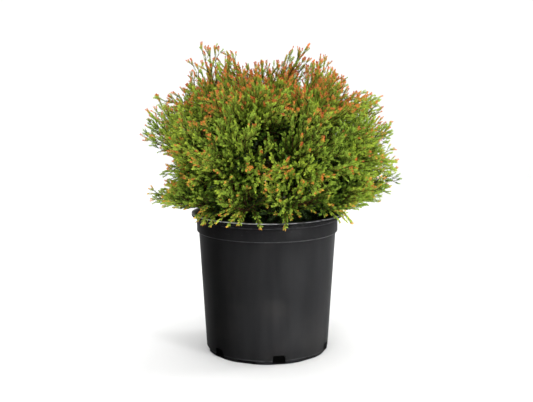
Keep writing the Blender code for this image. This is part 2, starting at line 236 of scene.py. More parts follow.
# Shoots that stand out of the crown's outline, from the lip to the top: elevation, distance from heart
LEFT_TIPS = (
    (-2.9, 0.207), (4.9, 0.205), (12.9, 0.199), (20.0, 0.187), (26.3, 0.214), (28.8, 0.252),
    (35.2, 0.250), (38.0, 0.267), (42.9, 0.277), (46.3, 0.254), (55.0, 0.252), (62.1, 0.285),
    (67.1, 0.305), (69.6, 0.292), (71.4, 0.291), (74.8, 0.273),
)
RIGHT_TIPS = (
    (1.5, 0.201), (6.6, 0.215), (12.9, 0.238), (16.9, 0.230), (22.0, 0.226), (28.0, 0.258),
    (32.0, 0.252), (38.3, 0.251), (43.0, 0.274), (44.8, 0.268), (50.1, 0.253), (56.8, 0.260),
    (62.9, 0.259), (67.4, 0.278), (70.3, 0.275), (74.8, 0.287), (76.9, 0.276), (80.3, 0.277),
    (82.4, 0.261),
)
TIP_ASIDE = 0.2
TIP_SHY = 0.001

# The same in front of the crown: azimuth, elevation, distance from heart
FRONT_TIPS = (
    (275, 8.0, 0.214), (270, 16.0, 0.228), (277, 18.0, 0.230), (262, 36.0, 0.250),
    (280, 47.0, 0.262), (264, 54.0, 0.260), (248, 34.0, 0.252), (289, 14.0, 0.226),
)

# The same all round, by a rule: how many, between which elevations, and how much lower they may reach
LEADER_COUNT = 22
LEADER_LEVELS = (6, 62)
LOWER_LEADERS = 0.006

# Sprays on a shoot that stands out and their size, on the plumes above one elevation and elsewhere
PLUME_LEVEL = 56
PLUME_SPRAYS = (9, 0.64)
LEADER_SPRAYS = (8, 0.8)

# Shoots that hang over the pot's lip: azimuth, elevation, distance from heart
HANGING = (
    (-94, -9.5, 0.153), (-90, 4.0, 0.166), (-61, 0.0, 0.160), (-112, -5.0, 0.151),
    (-75, -4.0, 0.151), (-152, 0.0, 0.165), (-79, -9.9, 0.155), (-135, -9.7, 0.153),
    (-124, -7.9, 0.152), (-15, -13.0, 0.156), (-25, -9.0, 0.158), (-36, -9.5, 0.154),
    (-146, -10.0, 0.146), (-118, -2.0, 0.142), (-84, -1.0, 0.144), (-68, -3.0, 0.142),
    (-48, -4.0, 0.146), (-30, -7.0, 0.150), (-20, -12.0, 0.150), (-9, -14.0, 0.158),
    (-108, -8.0, 0.150), (-116, -9.5, 0.149), (-121, -2.0, 0.152), (-129, -10.5, 0.151),
    (-134, -1.0, 0.158), (-141, -6.0, 0.156), (-147, -1.0, 0.165), (-138, -9.8, 0.149),
    (20, -10.0, 0.156), (75, -9.0, 0.154), (130, -11.0, 0.156), (160, -8.0, 0.158),
)


def srgb(code):
    """A colour code as linear values."""
    parts = [int(code[i : i + 2], 16) / 255 for i in (0, 2, 4)]
    return tuple(p / 12.92 if p <= 0.04045 else ((p + 0.055) / 1.055) ** 2.4 for p in parts)


# Leaf tones, from the painted shade of the crown's inside to the autumn tints of its tips
TONES = (
    ("shade", "20300E"),
    ("deep_green", "4A671B"),
    ("mid_green", "7A9731"),
    ("leaf_green", "9DB845"),
    ("olive", "A3A63F"),
    ("yellow_green", "B9CC4A"),
    ("amber", "D3A344"),
    ("gold", "F0BC54"),
    ("orange", "E68C48"),
    ("rust", "CC6E43"),
    ("red_brown", "B25437"),
    ("old_brown", "5C3A20"),
)
SHADE, DEEP, MID, LEAF, OLIVE, YELLOW, AMBER, GOLD, ORANGE, RUST, RED, OLD = range(len(TONES))

# The casts that a spray can have, from darker to lighter, in the upper and lower crown and at its tips
UPPER_CASTS = ((DEEP, MID, DEEP), (MID, MID, OLIVE), (LEAF, MID, OLIVE), (LEAF, OLIVE, YELLOW))
LOWER_CASTS = ((DEEP, MID, DEEP), (MID, MID, LEAF), (LEAF, MID, LEAF), (LEAF, LEAF, YELLOW))
TIP_CASTS = ((DEEP, MID, LEAF), (MID, LEAF, LEAF), (LEAF, LEAF, YELLOW), (LEAF, YELLOW, YELLOW))


def between(pair, share):
    """A value some share of the way from the first of a pair to the second."""
    return pair[0] + (pair[1] - pair[0]) * share


def make_camera():
    data = bpy.data.cameras.new("camera")
    data.lens = LENS_MM
    data.sensor_width = 36.0
    camera = bpy.data.objects.new("camera", data)
    bpy.context.scene.collection.objects.link(camera)
    camera.location = CAMERA_PLACE
    camera.rotation_euler = (math.pi / 2 - CAMERA_DIP, 0.0, 0.0)
    bpy.context.scene.camera = camera


def mesh_from(bm, name):
    mesh = bpy.data.meshes.new(name)
    bm.to_mesh(mesh)
    bm.free()
    return mesh


def add_piece(name, mesh, materials, replaced=()):
    """A finished piece: its place is in its mesh, it rides on the body and stands for its solids."""
    for material in materials:
        mesh.materials.append(material)
    piece = bpy.data.objects.new(name, mesh)
    bpy.context.scene.collection.objects.link(piece)
    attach(piece, "root")
    if replaced:
        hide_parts(*replaced)
    return piece


def shade_smooth(mesh, angle):
    mesh.shade_smooth()
    mesh.set_sharp_from_angle(angle=math.radians(angle))


class Nodes:
    """Short calls for laying out a material's nodes."""

    def __init__(self, tree):
        self.tree = tree

    def add(self, kind, **values):
        node = self.tree.nodes.new(kind)
        for key, value in values.items():
            if hasattr(node, key):
                setattr(node, key, value)
            else:
                node.inputs[key.replace("_", " ")].default_value = value
        return node

    def link(self, source, target):
        self.tree.links.new(source, target)

    def ramp(self, source, stops):
        node = self.add("ShaderNodeValToRGB")
        elements = node.color_ramp.elements
        while len(elements) < len(stops):
            elements.new(0.5)
        for element, (position, colour) in zip(elements, stops):
            element.position = position
            element.color = (*colour, 1.0)
        self.link(source, node.inputs["Fac"])
        return node.outputs["Color"]

    def mix(self, factor, first, second):
        node = self.add("ShaderNodeMix", data_type="RGBA")
        self.link(factor, node.inputs[0])
        for socket, value in ((node.inputs[6], first), (node.inputs[7], second)):
            if isinstance(value, tuple):
                socket.default_value = (*value, 1.0)
            else:
                self.link(value, socket)
        return node.outputs[2]

    def place(self):
        """Where a point lies on the object."""
        return self.add("ShaderNodeTexCoord").outputs["Object"]

    def split(self, vector):
        node = self.add("ShaderNodeSeparateXYZ")
        self.link(vector, node.inputs[0])
        return node.outputs

    def times(self, first, second):
        node = self.add("ShaderNodeMath", operation="MULTIPLY")
        self.link(first, node.inputs[0])
        if isinstance(second, float):
            node.inputs[1].default_value = second
        else:
            self.link(second, node.inputs[1])
        return node.outputs[0]

    def spread(self, value, low, high, to=(0.0, 1.0)):
        """Carries a value that runs from low to high over to another run, and holds it at both ends."""
        node = self.add("ShaderNodeMapRange")
        for name, end in zip(("From Min", "From Max", "To Min", "To Max"), (low, high, *to)):
            node.inputs[name].default_value = end
        self.link(value, node.inputs["Value"])
        return node.outputs["Result"]


def new_material(name, roughness, specular=0.5):
    material = bpy.data.materials.new(name)
    material.use_nodes = True
    shader = material.node_tree.nodes["Principled BSDF"]
    shader.inputs["Roughness"].default_value = roughness
    shader.inputs["Specular IOR Level"].default_value = specular
    return material, Nodes(material.node_tree), shader


def new_group(name, numbers, result):
    """A node group with a place and some numbers going in, and one value coming out."""
    group = bpy.data.node_groups.new(name, "ShaderNodeTree")
    for label, value in numbers.items():
        socket = group.interface.new_socket(label, in_out="INPUT", socket_type="NodeSocketFloat")
        socket.default_value = value
    group.interface.new_socket("Vector", in_out="INPUT", socket_type="NodeSocketVector")
    group.interface.new_socket(result, in_out="OUTPUT", socket_type="NodeSocketFloat")
    nodes = Nodes(group)
    given = nodes.add("NodeGroupInput").outputs
    return group, nodes, given, nodes.add("NodeGroupOutput").inputs[result]


def make_patch_group():
    """Soft patches of scuffs, dust, tone or painted highlight: a mask from noise, stretched along Z."""
    numbers = {"Scale": 40.0, "Stretch": 1.0, "From": 0.45, "To": 0.6}
    group, nodes, given, mask = new_group("patches", numbers, "Mask")
    across, along, height = nodes.split(given["Vector"])
    join = nodes.add("ShaderNodeCombineXYZ")
    for source, target in zip((across, along, nodes.times(height, given["Stretch"])), join.inputs):
        nodes.link(source, target)
    cloud = nodes.add("ShaderNodeTexNoise", Detail=4.0, Roughness=0.6)
    nodes.link(join.outputs[0], cloud.inputs["Vector"])
    nodes.link(given["Scale"], cloud.inputs["Scale"])
    sort = nodes.add("ShaderNodeMapRange")
    nodes.link(cloud.outputs["Fac"], sort.inputs["Value"])
    nodes.link(given["From"], sort.inputs["From Min"])
    nodes.link(given["To"], sort.inputs["From Max"])
    nodes.link(sort.outputs["Result"], mask)
    return group


def make_grain_group():
    """Fine relief in two sizes, for moulded plastic, bark and crumbs of mix."""
    numbers = {"Coarse": 300.0, "Fine": 1400.0, "Share": 0.5}
    group, nodes, given, height = new_group("grain", numbers, "Height")
    blend = nodes.add("ShaderNodeMix", data_type="FLOAT")
    nodes.link(given["Share"], blend.inputs[0])
    for size, detail, socket in (("Coarse", 3.0, 2), ("Fine", 2.0, 3)):
        cloud = nodes.add("ShaderNodeTexNoise", Detail=detail)
        nodes.link(given["Vector"], cloud.inputs["Vector"])
        nodes.link(given[size], cloud.inputs["Scale"])
        nodes.link(cloud.outputs["Fac"], blend.inputs[socket])
    nodes.link(blend.outputs[0], height)
    return group


def place_group(nodes, group, vector, **values):
    node = nodes.add("ShaderNodeGroup", node_tree=group)
    nodes.link(vector, node.inputs["Vector"])
    for key, value in values.items():
        node.inputs[key].default_value = value
    return node.outputs[0]


def add_bump(nodes, shader, height, distance, strength):
    bump = nodes.add("ShaderNodeBump", Distance=distance, Strength=strength)
    nodes.link(height, bump.inputs["Height"])
    nodes.link(bump.outputs["Normal"], shader.inputs["Normal"])


def make_plastic(patches, grain):
    """Black polyethylene: satin, with flow streaks, a little dust and faint scuffs, and painted highlights
    in patches along the lip and the steps of its wall.
    """
    material, nodes, shader = new_material("pot_plastic", 0.4, 0.010)
    place = nodes.place()
    across, _, height = nodes.split(place)
    streaks = place_group(nodes, patches, place, Scale=60.0, Stretch=0.12, From=0.35, To=0.7)
    scuffs = place_group(nodes, patches, place, Scale=130.0, Stretch=2.5, From=0.60, To=0.74)
    dust = place_group(nodes, patches, place, Scale=16.0, Stretch=1.0, From=0.50, To=0.80)
    # This noise breaks the painted highlights along the lip and the steps of the wall into patches.
    edge_highlight_patches = place_group(nodes, patches, place, Scale=90.0, Stretch=1.0, From=0.30, To=0.55)
    near_lip = nodes.spread(height, COLLAR_FOOT - 0.004, POT_HEIGHT)
    base = nodes.mix(streaks, (0.0032, 0.0032, 0.0034), (0.0054, 0.0054, 0.0056))
    base = nodes.mix(nodes.times(dust, 0.07), base, (0.045, 0.041, 0.036))
    base = nodes.mix(nodes.times(scuffs, near_lip), base, (0.022, 0.022, 0.023))
    flat_place = nodes.add("ShaderNodeVectorMath", operation="MULTIPLY")
    nodes.link(place, flat_place.inputs[0])
    flat_place.inputs[1].default_value = (1.0, 1.0, 0.0)
    radius = nodes.add("ShaderNodeVectorMath", operation="LENGTH")
    nodes.link(flat_place.outputs[0], radius.inputs[0])
    outer = nodes.spread(radius.outputs["Value"], RIM_RADIUS - 0.008, RIM_RADIUS - 0.001)
    # Painted light across the front: the lip's painted highlight grows lighter towards the left, and the
    # collar step's grows darker there as painted shade.
    painted_light_side = nodes.spread(across, 0.03, -0.07)
    lip_highlight = nodes.mix(painted_light_side, (0.21, 0.21, 0.22), (0.66, 0.66, 0.67))
    collar_highlight = nodes.mix(painted_light_side, (0.042, 0.042, 0.043), (0.020, 0.020, 0.021))
    # Painted highlights: thin lighter lines where the lip, the neck, the collar's step and the base band
    # catch the light.
    for level, half, highlight_mask, colour in (
        (POT_HEIGHT, 0.0007, nodes.times(edge_highlight_patches, outer), lip_highlight),
        (NECK_FOOT, 0.0007, edge_highlight_patches, (0.020, 0.020, 0.021)),
        (COLLAR_FOOT, 0.0008, edge_highlight_patches, collar_highlight),
        (BASE_BAND, 0.0006, edge_highlight_patches, (0.026, 0.026, 0.027)),
    ):
        near = nodes.add("ShaderNodeMath", operation="COMPARE")
        nodes.link(height, near.inputs[0])
        near.inputs[1].default_value = level
        near.inputs[2].default_value = half
        base = nodes.mix(nodes.times(near.outputs[0], highlight_mask), base, colour)
    nodes.link(base, shader.inputs["Base Color"])
    nodes.link(nodes.spread(dust, 0.0, 1.0, (0.40, 0.52)), shader.inputs["Roughness"])
    relief = place_group(nodes, grain, place, Coarse=420.0, Fine=2200.0, Share=0.45)
    add_bump(nodes, shader, relief, 0.0002, 0.25)
    return material


def make_mix_material(patches, grain):
    """Damp bark-based potting mix, with painted shade that makes it almost black low in the pot, where it
    shows in the notches of the foot.
    """
    material, nodes, shader = new_material("potting_mix", 0.9, 0.01)
    place = nodes.place()
    crumbs = place_group(nodes, patches, place, Scale=260.0, Stretch=1.0, From=0.35, To=0.7)
    relief = place_group(nodes, grain, place, Coarse=350.0, Fine=1500.0, Share=0.4)
    stops = ((0.0, (0.010, 0.006, 0.004)), (0.6, (0.035, 0.021, 0.013)), (1.0, (0.085, 0.055, 0.033)))
    # Painted shade: the mix turns almost black towards the bottom of the pot.
    painted_shade_low = nodes.spread(nodes.split(place)[2], 0.10, 0.03)
    base = nodes.mix(painted_shade_low, nodes.ramp(crumbs, stops), (0.0002, 0.0002, 0.0002))
    nodes.link(base, shader.inputs["Base Color"])
    add_bump(nodes, shader, relief, 0.0015, 0.7)
    return material


def make_bark(patches, grain):
    """Thin reddish-brown bark with grey flakes."""
    material, nodes, shader = new_material("bark", 0.85, 0.25)
    place = nodes.place()
    flakes = place_group(nodes, patches, place, Scale=210.0, Stretch=0.35, From=0.42, To=0.62)
    relief = place_group(nodes, grain, place, Coarse=500.0, Fine=1700.0, Share=0.4)
    stops = ((0.0, (0.050, 0.024, 0.013)), (0.55, (0.120, 0.066, 0.036)), (1.0, (0.20, 0.15, 0.11)))
    nodes.link(nodes.ramp(flakes, stops), shader.inputs["Base Color"])
    add_bump(nodes, shader, relief, 0.0009, 0.8)
    return material


def make_mottled(name, patches, grain, dark, light, size):
    """Stems and chips: two tones in patches of one size, with a fine grain."""
    material, nodes, shader = new_material(name, 0.82, 0.2)
    place = nodes.place()
    mask = place_group(nodes, patches, place, Scale=size, Stretch=1.0, From=0.38, To=0.62)
    nodes.link(nodes.mix(mask, dark, light), shader.inputs["Base Color"])
    relief = place_group(nodes, grain, place, Coarse=900.0, Fine=2600.0, Share=0.4)
    add_bump(nodes, shader, relief, 0.0003, 0.5)
    return material


def make_plain(name, colour, roughness, specular):
    material, _, shader = new_material(name, roughness, specular)
    shader.inputs["Base Color"].default_value = (*colour, 1.0)
    return material


def wall_radius(height):
    return BASE_RADIUS + (BODY_RADIUS - BASE_RADIUS) * height / COLLAR_FOOT


def spin_profile(bm, profile, steps):
    """Sweeps an open profile, given as radius and height, once round the Z axis."""
    verts = [bm.verts.new((radius, 0.0, height)) for radius, height in profile]
    edges = [bm.edges.new(pair) for pair in zip(verts, verts[1:])]
    bmesh.ops.spin(
        bm, geom=verts + edges, cent=(0, 0, 0), axis=(0, 0, 1),
        angle=math.tau, steps=steps, use_merge=True, use_duplicate=False,
    )
    bmesh.ops.remove_doubles(bm, verts=bm.verts, dist=0.00001)
    bmesh.ops.recalc_face_normals(bm, faces=bm.faces)


def foot_cutter(sizes, turn):
    """A notch for the pot's foot, narrower at its top, with its upper corners rounded."""
    floor_width, high_width, top, depth = sizes
    low_width = 2 * floor_width - high_width
    bm = bmesh.new()
    bmesh.ops.create_cube(bm, size=1.0)
    for vert in bm.verts:
        upper = vert.co.z > 0
        vert.co.x *= high_width if upper else low_width
        vert.co.y = -(BASE_RADIUS - depth) if vert.co.y > 0 else -(BASE_RADIUS + CUTTER_OUTSIDE)
        vert.co.z = top if upper else -top
    corners = []
    for edge in bm.edges:
        a, b = (vert.co for vert in edge.verts)
        if min(a.z, b.z) > 0 and a.x * b.x > 0:
            corners.append(edge)
    bmesh.ops.bevel(
        bm, geom=corners, offset=top * 0.2, segments=4, profile=0.5, affect="EDGES", material=-1
    )
    bmesh.ops.rotate(bm, verts=bm.verts, cent=(0, 0, 0), matrix=Matrix.Rotation(turn, 3, "Z"))
    bmesh.ops.recalc_face_normals(bm, faces=bm.faces)
    return bpy.data.objects.new("notch", mesh_from(bm, "notch"))


def make_pot(material):
    """The pot: spun wall, floor and rolled lip, softened at its edges, then notched at its foot."""
    neck = COLLAR_RADIUS - NECK_INSET
    band = wall_radius(BASE_BAND) - BASE_INSET
    lip_foot = POT_HEIGHT - LIP_DROP
    profile = (
        (0.0, FLOOR),
        (wall_radius(FLOOR) - WALL, FLOOR),
        (BODY_RADIUS - WALL, COLLAR_FOOT),
        (COLLAR_RADIUS - WALL, COLLAR_FOOT + 3 * STEP),
        (neck - WALL, POT_HEIGHT - STEP),
        (neck - WALL + STEP, POT_HEIGHT),
        (RIM_RADIUS, POT_HEIGHT),
        (RIM_RADIUS, lip_foot),
        (RIM_RADIUS - WALL, lip_foot),
        (RIM_RADIUS - WALL, POT_HEIGHT - WALL),
        (neck, POT_HEIGHT - WALL - STEP),
        (neck, NECK_FOOT),
        (COLLAR_RADIUS, NECK_FOOT - STEP),
        (COLLAR_RADIUS, COLLAR_FOOT + STEP),
        (BODY_RADIUS, COLLAR_FOOT - STEP),
        (wall_radius(BASE_BAND), BASE_BAND),
        (band, BASE_BAND - STEP),
        (band, BASE_CHAMFER),
        (band - BASE_CHAMFER, 0.0),
        (0.0, 0.0),
    )
    bm = bmesh.new()
    spin_profile(bm, profile, POT_STEPS)
    sharp = [e for e in bm.edges if len(e.link_faces) == 2 and e.calc_face_angle() > math.radians(20)]
    bmesh.ops.bevel(
        bm, geom=sharp, offset=0.0004, segments=2, profile=0.5, affect="EDGES",
        material=-1, clamp_overlap=True,
    )
    pot = add_piece("nursery_pot", mesh_from(bm, "nursery_pot"), [material], ["pot"])
    notches = bpy.data.collections.new("notches")
    pitch = math.tau / SLOT_COUNT
    for i in range(SLOT_COUNT):
        turn = SLOT_TURN + i * pitch
        notches.objects.link(foot_cutter(SLOT, turn))
        notches.objects.link(foot_cutter(ARCH, turn + pitch / 2))
    bpy.context.scene.collection.children.link(notches)
    cut = pot.modifiers.new("notches", "BOOLEAN")
    cut.operation = "DIFFERENCE"
    cut.operand_type = "COLLECTION"
    cut.collection = notches
    finished = bpy.data.meshes.new_from_object(pot.evaluated_get(bpy.context.evaluated_depsgraph_get()))
    pot.modifiers.clear()
    pot.data = finished
    for cutter in list(notches.objects):
        bpy.data.objects.remove(cutter)
    bpy.data.collections.remove(notches)
    shade_smooth(finished, 32)


def mesh_from_arrays(name, verts, faces, tones):
    """A joined mesh of triangles from arrays of corners, faces and material numbers."""
    mesh = bpy.data.meshes.new(name)
    count = len(faces)
    mesh.vertices.add(len(verts))
    mesh.vertices.foreach_set("co", np.ascontiguousarray(verts, dtype=np.float32).ravel())
    mesh.loops.add(count * 3)
    mesh.loops.foreach_set("vertex_index", np.ascontiguousarray(faces, dtype=np.int32).ravel())
    mesh.polygons.add(count)
    mesh.polygons.foreach_set("loop_start", np.arange(0, count * 3, 3, dtype=np.int32))
    mesh.polygons.foreach_set("material_index", np.ascontiguousarray(tones, dtype=np.int32))
    mesh.update(calc_edges=True)
    return mesh


def soil_height(radius):
    """The mix is level in the middle and falls a little towards the wall."""
    return SOIL_LEVEL - SOIL_FALL * max(0.0, (radius - SOIL_FLAT) / (SOIL_EDGE - SOIL_FLAT))


def make_potting_mix(material):
    """The filling: a spun plug with an uneven top."""
    low = FLOOR + GAP
    profile = [(0.0, SOIL_LEVEL)]
    for i in range(1, SOIL_RINGS + 1):
        radius = SOIL_EDGE * i / SOIL_RINGS
        profile.append((radius, soil_height(radius)))
    profile += [(SOIL_EDGE, COLLAR_FOOT - GAP), (wall_radius(low) - WALL - 2 * GAP, low), (0.0, low)]
    bm = bmesh.new()
    spin_profile(bm, profile, 96)
    for vert in bm.verts:
        if vert.co.z > COLLAR_FOOT and vert.co.xy.length < SOIL_EDGE - 0.001:
            vert.co.z += 0.0022 * (noise.noise(vert.co * 160) + 0.5 * noise.noise(vert.co * 420))
    mesh = mesh_from(bm, "potting_mix_fill")
    shade_smooth(mesh, 50)
    add_piece("potting_mix_fill", mesh, [material], ["potting_mix"])


def make_chips(materials):
    """Chips of bark and beads of perlite on the mix: one crumb, squashed, turned and roughened by chance."""
    rng = random.Random(SEED)
    seedling = bmesh.new()
    bmesh.ops.create_icosphere(seedling, subdivisions=1, radius=1.0)
    crumb = np.array([v.co for v in seedling.verts])
    crumb_faces = np.array([[v.index for v in f.verts] for f in seedling.faces])
    seedling.free()
    verts, faces, tones = [], [], []
    for i in range(CHIPS + PERLITE):
        white = i >= CHIPS
        reach = (SOIL_EDGE - 0.005) * math.sqrt(rng.random())
        turn = rng.uniform(0, math.tau)
        length = rng.uniform(*(PERLITE_LENGTHS if white else CHIP_LENGTHS))
        flat = 0.8 if white else rng.uniform(0.18, 0.45)
        wide = 0.9 if white else rng.uniform(0.3, 0.6)
        size = Matrix.Diagonal((length, length * wide, length * flat))
        tilt = Matrix.Rotation(rng.gauss(0, 0.35), 3, "X") @ Matrix.Rotation(rng.gauss(0, 0.35), 3, "Y")
        spin = Matrix.Rotation(rng.uniform(0, math.tau), 3, "Z") @ tilt @ size
        centre = np.array((reach * math.cos(turn), reach * math.sin(turn), soil_height(reach) + 0.0008))
        jitter = np.array([rng.uniform(0.75, 1.2) for _ in crumb])[:, None]
        faces.append(crumb_faces + len(crumb) * i)
        verts.append((crumb * jitter) @ np.array(spin).T + centre)
        tones += [2 if white else rng.choice((0, 0, 1))] * len(crumb_faces)
    joined = (np.concatenate(verts), np.concatenate(faces), np.array(tones))
    mesh = mesh_from_arrays("potting_mix_chips", *joined)
    add_piece("potting_mix_chips", mesh, materials, ["potting_mix"])


def trunk_centre(height):
    foot = SOIL_LEVEL + FLARE_HEIGHT
    share = max(0.0, (height - foot) / (TRUNK_TOP - foot))
    return Vector((TRUNK_LEAN * share, 0.0, height))


def trunk_radius(height):
    rise = height - SOIL_LEVEL
    if rise < FLARE_HEIGHT:
        return between((TRUNK_RADIUS, TRUNK_FLARE_RADIUS), (1 - rise / FLARE_HEIGHT) ** 2)
    share = (rise - FLARE_HEIGHT) / (TRUNK_TOP - SOIL_LEVEL - FLARE_HEIGHT)
    return between((TRUNK_RADIUS, TRUNK_TIP_RADIUS), share)


def frame_at(point, way, radius):
    """Where a limb's ring lies: centred on a point, square to a way, and as wide as the limb."""
    turn = UP.rotation_difference(way).to_matrix().to_4x4()
    return Matrix.Translation(point) @ turn @ Matrix.Diagonal((radius, radius, radius, 1.0))


def grow_limb(bm, points, radii, sides):
    """A round disc, extruded from point to point and narrowed as the limb tapers."""
    ways = [(b - a).normalized() for a, b in zip(points, points[1:])]
    ways = [ways[0]] + [(a + b).normalized() for a, b in zip(ways, ways[1:])] + [ways[-1]]
    places = [frame_at(p, w, r) for p, w, r in zip(points, ways, radii)]
    ring = bmesh.ops.create_circle(bm, cap_ends=True, segments=sides, radius=1.0, matrix=places[0])
    face = ring["verts"][0].link_faces[0]
    for before, after in zip(places, places[1:]):
        grown = bmesh.ops.extrude_face_region(bm, geom=[face], use_keep_orig=False)["geom"]
        if face.is_valid and before is not places[0]:
            bm.faces.remove(face)
        face = next(g for g in grown if isinstance(g, bmesh.types.BMFace))
        bmesh.ops.transform(bm, matrix=after @ before.inverted(), verts=face.verts)


def add_relief(bm, depth, size):
    """Raises and sinks a limb's skin like thin, stringy bark."""
    bm.normal_update()
    for vert in bm.verts:
        spot = Vector((vert.co.x * size, vert.co.y * size, vert.co.z * size * 0.35))
        vert.co += vert.normal * depth * (noise.noise(spot) + 0.5 * noise.noise(spot * 2.7))


def bough_path(axis, fork, steps):
    if axis == UP:
        start = trunk_centre(TRUNK_TOP) - UP * 0.001
        away = UP
    else:
        away = Vector((axis.x, axis.y, 0.0)).normalized()
        start = trunk_centre(fork) + away * (trunk_radius(fork) - 0.002)
    end = HEART + axis * MASS_START
    pull = (end - start).length / 3
    return geometry.interpolate_bezier(start, start + away * pull, end - axis * pull, end, steps)


def add_limb(name, solid, points, radii, sides, depth, size, material):
    """One limb with the relief of its bark, in the place of its solid."""
    bm = bmesh.new()
    grow_limb(bm, points, radii, sides)
    bmesh.ops.recalc_face_normals(bm, faces=bm.faces)
    add_relief(bm, depth, size)
    mesh = mesh_from(bm, name)
    shade_smooth(mesh, 60)
    add_piece(name, mesh, [material], [solid])


def make_limbs(plan, material):
    """The trunk, then the bough of every mass."""
    rise = TRUNK_TOP - SOIL_LEVEL
    heights = [SOIL_LEVEL - 0.002 + rise * i / TRUNK_STEPS for i in range(TRUNK_STEPS + 1)]
    points = [trunk_centre(height) for height in heights]
    radii = [trunk_radius(max(height, SOIL_LEVEL)) for height in heights]
    add_limb("trunk_bark", "trunk", points, radii, 28, 0.0009, 240, material)
    fall = (BOUGH_TIP_RADIUS - BOUGH_ROOT_RADIUS) / (BOUGH_STEPS - 1)
    radii = [BOUGH_ROOT_RADIUS + fall * i for i in range(BOUGH_STEPS)]
    for name, axis, fork, _, _ in plan:
        points = bough_path(axis, fork, BOUGH_STEPS)
        add_limb(f"bough_bark_{name}", f"bough_{name}", points, radii, 12, 0.0004, 420, material)


def way_of(azimuth, elevation):
    """The way that an azimuth and an elevation in degrees point to."""
    turn = math.radians(azimuth)
    level = math.radians(elevation)
    return Vector((math.cos(level) * math.cos(turn), math.cos(level) * math.sin(turn), math.sin(level)))


def crown_plan():
    """Name, axis, fork height, upward turn and twig angle of every mass, ring by ring from the lowest."""
    plan = []
    for ring, count, first, elevation, fork, lift, pitch in RINGS:
        for i in range(count):
            axis = way_of(first + 360 * i / count, elevation)
            plan.append((f"{ring}_{i}", axis, fork + BOUGH_STAGGER * (i % 2), lift, pitch))
    plan.append(("leader", UP, TRUNK_TOP, LEADER_LIFT, LEADER_PITCH))
    return plan


def elevation_of(way):
    return math.degrees(math.asin(max(-1.0, min(1.0, way.z))))


def level_of(point):
    """The elevation at which a point lies, seen from the crown's heart."""
    return elevation_of((point - HEART).normalized())


def tip_at(azimuth, elevation, distance):
    return HEART + way_of(azimuth, elevation) * distance


def read_profile(profile, x):
    lower = profile[0]
    for upper in profile[1:]:
        if x <= upper[0]:
            share = max(0.0, (x - lower[0]) / (upper[0] - lower[0]))
            return between((lower[1], upper[1]), share)
        lower = upper
    return lower[1]


def dent(way, azimuth, elevation, half_width, depth):
    """How much a hollow takes off the crown's reach: all of it over the hollow's inner half."""
    aside = math.degrees(way.angle(way_of(azimuth, elevation)))
    return depth * max(0.0, min(1.0, 2.0 * (1.0 - aside / half_width)))


class Space:
    """The room that one mass keeps to, a little past its borders so that masses interlace."""

    def __init__(self, name, axis, axes):
        self.name = name
        self.axis = axis
        self.change = REACH_CHANGES.get(name, 0.0)
        self.borders = [(axis - other).normalized() for other in axes if other != axis]
        self.hanging = False
        self.standing = 0.0
        self.raised = 0.0

    def outline(self, way):
        """How far the crown's outline is, pockets left out."""
        hollow = max(dent(way, *size) for size in DENTS)
        return read_profile(REACH_PROFILE, elevation_of(way)) + self.change - hollow

    def reach(self, way):
        return self.outline(way) - max(dent(way, *size) for size in POCKETS)

    def on_axis(self, share):
        return HEART + self.axis * (MASS_START + (self.reach(self.axis) - MASS_START) * share)

    def owns(self, way):
        return all(way.dot(border) > -SHARED_BORDER for border in self.borders)

    def depth(self, point):
        """How far out a point is, from 0 at the heart to 1 at the crown's outline."""
        out = point - HEART
        return out.length / self.outline(out.normalized())

    def is_free(self, point):
        """Whether a point is above the crown's lower edge, which rises from the pot's lip outwards."""
        radius = math.hypot(point.x, point.y)
        if self.hanging:
            return point.z > (HANG_LOWEST if radius > HANG_RADIUS else LOW_EDGE - 0.003)
        front = max(0.0, -point.y / max(radius, 0.001))
        slope = LOW_SLOPE + FRONT_SLOPE * front
        edge = LOW_EDGE + self.raised + FRONT_RISE * front**2
        return point.z > edge + slope * max(0.0, radius - LOW_EDGE_RADIUS)

    def holds(self, point):
        out = point - HEART
        if out.length > max(self.reach(out.normalized()), self.standing) + 0.002 or not self.is_free(point):
            return False
        return all(out.dot(border) > -BORDER_OVERLAP for border in self.borders)

    def fit(self, start, way, length):
        """The end of a shoot, drawn in until the mass has room for it, or nothing."""
        for share in SHORTER:
            end = start + way * length * share
            if length * share >= LEAST_SHOOT and self.holds(end) and self.is_free(start.lerp(end, 0.5)):
                return end
        return None


def leaf_rows(length, pairs, sizes, spreads, width, rng):
    """Leaves in crossed pairs along +X: each a folded, pointed blade of two faces."""
    rows = []
    for i in range(pairs):
        share = (i + 0.5) / pairs
        size = between(sizes, share)
        spread = between(spreads, share)
        for hand in (0, 1):
            around = math.pi * hand + math.pi / 2 * (i % 2) + rng.gauss(0, 0.25)
            tilt = math.radians(spread + rng.gauss(0, 6))
            long = size * rng.uniform(0.85, 1.15)
            out = np.array((0.0, math.cos(around), math.sin(around)))
            side = np.array((0.0, -math.sin(around), math.cos(around)))
            along = np.array((1.0, 0.0, 0.0)) * math.cos(tilt) + out * math.sin(tilt)
            base = np.array((share * length, 0.0, 0.0)) + out * 0.0003
            belly = base + along * long * 0.45 + out * long * 0.06
            half = side * long * width
            rows.append((base, belly + half, base + along * long, belly - half))
    return np.array(rows)


def make_sprigs():
    """The leafy pieces that every shoot is laid out with, each with the length it is made for."""
    rng = random.Random(SEED + 1)
    sleeves = [leaf_rows(SLEEVE_LENGTH, 4, (0.0042, 0.0040), (27, 23), 0.20, rng) for _ in range(4)]
    tufts = [leaf_rows(TIP_LENGTH * 0.72, 7, (0.0040, 0.0042), (34, 18), 0.21, rng) for _ in range(5)]
    coarse = [leaf_rows(INNER_STEP, 4, (0.0090, 0.0090), (42, 36), 0.20, rng) for _ in range(3)]
    return {"sleeve": (sleeves, SLEEVE_LENGTH), "tuft": (tufts, TIP_LENGTH), "coarse": (coarse, INNER_STEP)}


def bent_path(start, bend, tip, steps):
    """A smooth path from start to tip, drawn towards a bend between them."""
    return geometry.interpolate_bezier(start, start.lerp(bend, 2 / 3), tip.lerp(bend, 2 / 3), tip, steps + 1)


